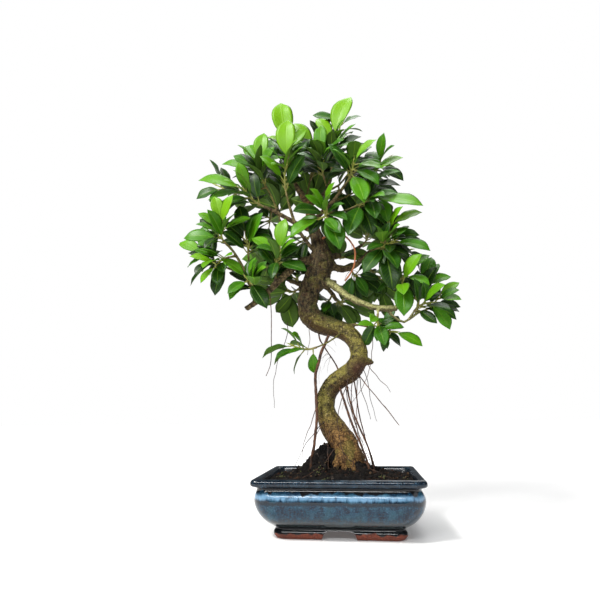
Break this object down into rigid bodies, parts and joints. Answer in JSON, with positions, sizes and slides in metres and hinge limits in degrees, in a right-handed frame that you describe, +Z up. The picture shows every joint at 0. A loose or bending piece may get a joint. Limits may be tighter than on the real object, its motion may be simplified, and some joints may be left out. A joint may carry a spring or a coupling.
{
  "type": "bonsai tree in a pot",
  "caption": "S-shaped ficus bonsai with aerial roots and glossy leaves, planted in a blue glazed rectangular pot on an arched foot ring.",
  "frame": {"origin": "middle of the plant's plan outline, on the surface that the pot stands on", "axes": "+Z up, +X along the pot's long side, -Y towards the tree's front"},
  "size_m": [0.3074, 0.1764, 0.465],
  "materials": {
    "glaze": "gloss",
    "screen_plastic": "matte",
    "soil": "matte",
    "bark": "matte",
    "twig": "matte",
    "root": "matte",
    "leaf": "satin"
  },
  "bodies": {
    "root": {"branch_back_left": "twig", "branch_back_low_right": "twig", "branch_back_right": "twig", "branch_back_top": "twig", "branch_low_left": "twig", "branch_low_right": "twig", "branch_pale_left": "twig", "branch_right_mid": "twig", "branch_top_right": "twig", "branch_upper_left": "twig", "branch_upper_right": "twig", "drain_screen_left": "screen_plastic", "drain_screen_right": "screen_plastic", "pot": "glaze", "root_crown_loop": "root", "root_hanging_left": "root", "root_left_dark": "root", "root_left_thick": "root", "root_right_back": "root", "root_right_front": "root", "root_right_middle": "root", "root_scar_long": "root", "shoot_back_centre": "leaf", "shoot_back_left_high": "leaf", "shoot_back_left_low": "leaf", "shoot_back_low_right": "leaf", "shoot_back_right_high": "leaf", "shoot_back_right_low": "leaf", "shoot_back_top": "leaf", "shoot_centre": "leaf", "shoot_hanging_left": "leaf", "shoot_left_far": "leaf", "shoot_left_front": "leaf", "shoot_left_inner": "leaf", "shoot_left_light": "leaf", "shoot_left_low": "leaf", "shoot_left_mid": "leaf", "shoot_left_tip": "leaf", "shoot_left_upper": "leaf", "shoot_low_right_hang": "leaf", "shoot_low_twig": "leaf", "shoot_right_arch": "leaf", "shoot_right_droop": "leaf", "shoot_right_far": "leaf", "shoot_right_fork": "leaf", "shoot_right_mid": "leaf", "shoot_right_mid_high": "leaf", "shoot_right_tip": "leaf", "shoot_right_upper": "leaf", "shoot_right_upper_tip": "leaf", "shoot_top_left": "leaf", "shoot_top_left_front": "leaf", "shoot_top_mid": "leaf", "shoot_top_mid_left": "leaf", "shoot_top_right": "leaf", "shoot_top_right_outer": "leaf", "soil": "soil", "trunk": "bark", "twig_hanging_left": "twig", "twig_low_right": "twig"}
  },
  "joints": []
}
